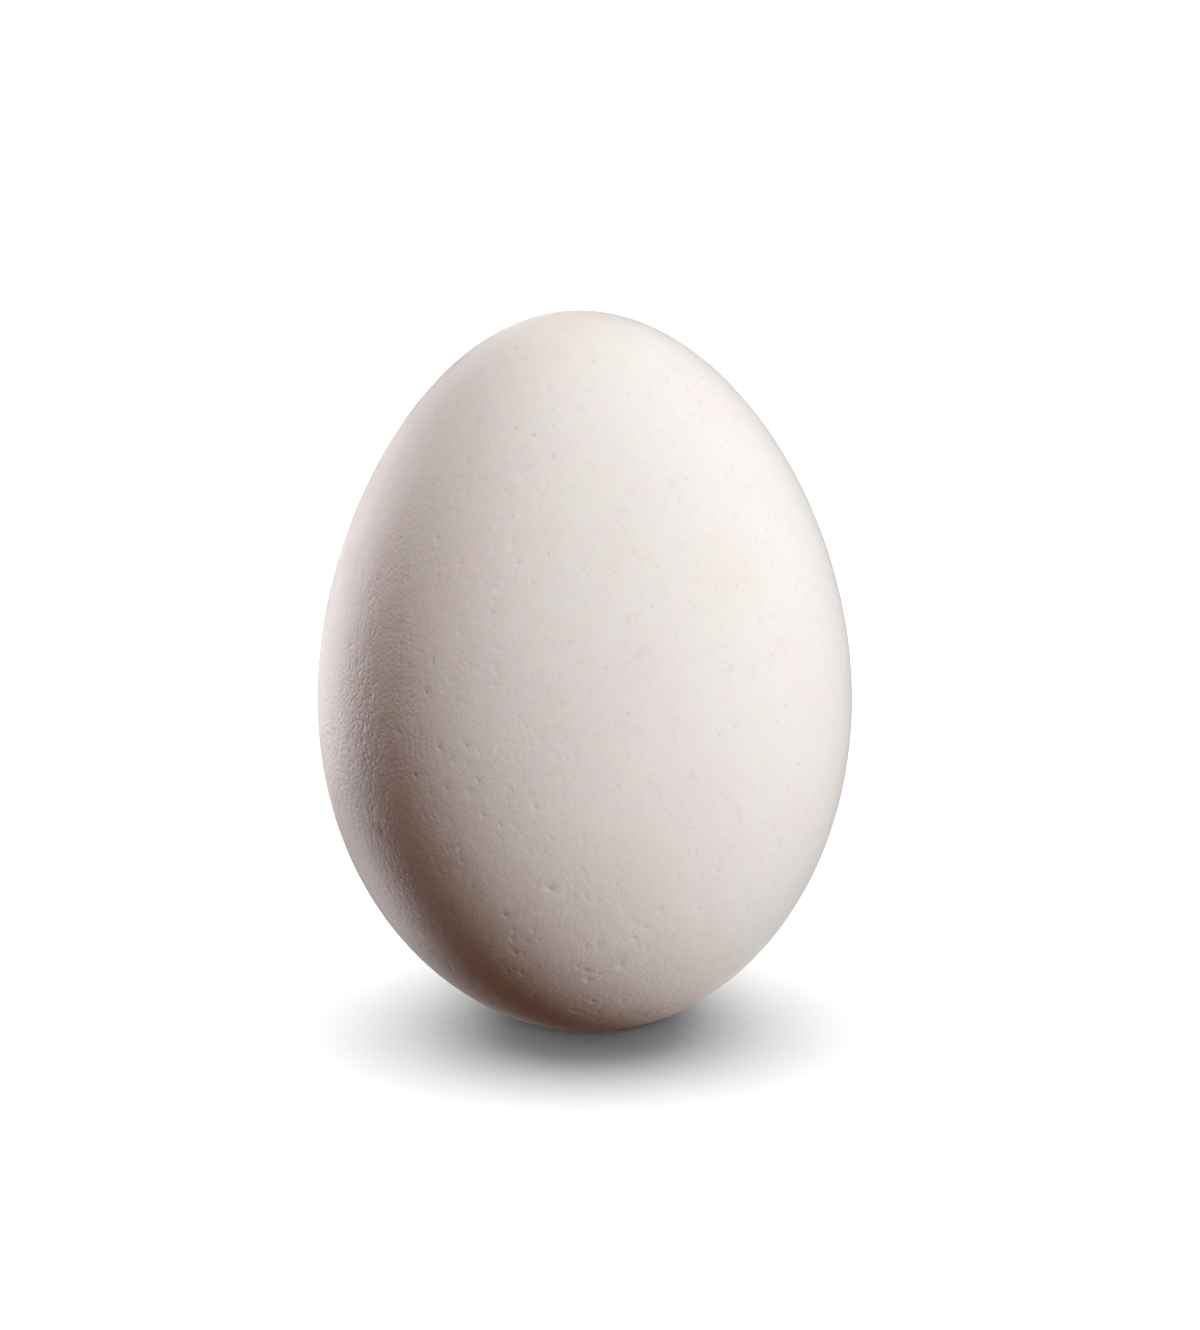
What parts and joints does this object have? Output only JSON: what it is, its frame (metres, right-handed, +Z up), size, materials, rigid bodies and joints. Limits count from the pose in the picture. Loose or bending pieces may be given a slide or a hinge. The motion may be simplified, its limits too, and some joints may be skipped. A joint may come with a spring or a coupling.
{
  "type": "ostrich egg",
  "caption": "Whole ostrich egg with a thick, finely pitted off-white shell, standing pointed end up on a small flat spot at its blunt end.",
  "frame": {"origin": "centre of the flat spot at the blunt end, on the surface that the egg stands on", "axes": "+Z up along the egg's length towards its pointed end, which leans a little to -X; +Y away from the picture's camera"},
  "size_m": [0.1219, 0.122, 0.1654],
  "materials": {
    "eggshell": "satin"
  },
  "bodies": {
    "root": {"egg": "eggshell"}
  },
  "joints": []
}
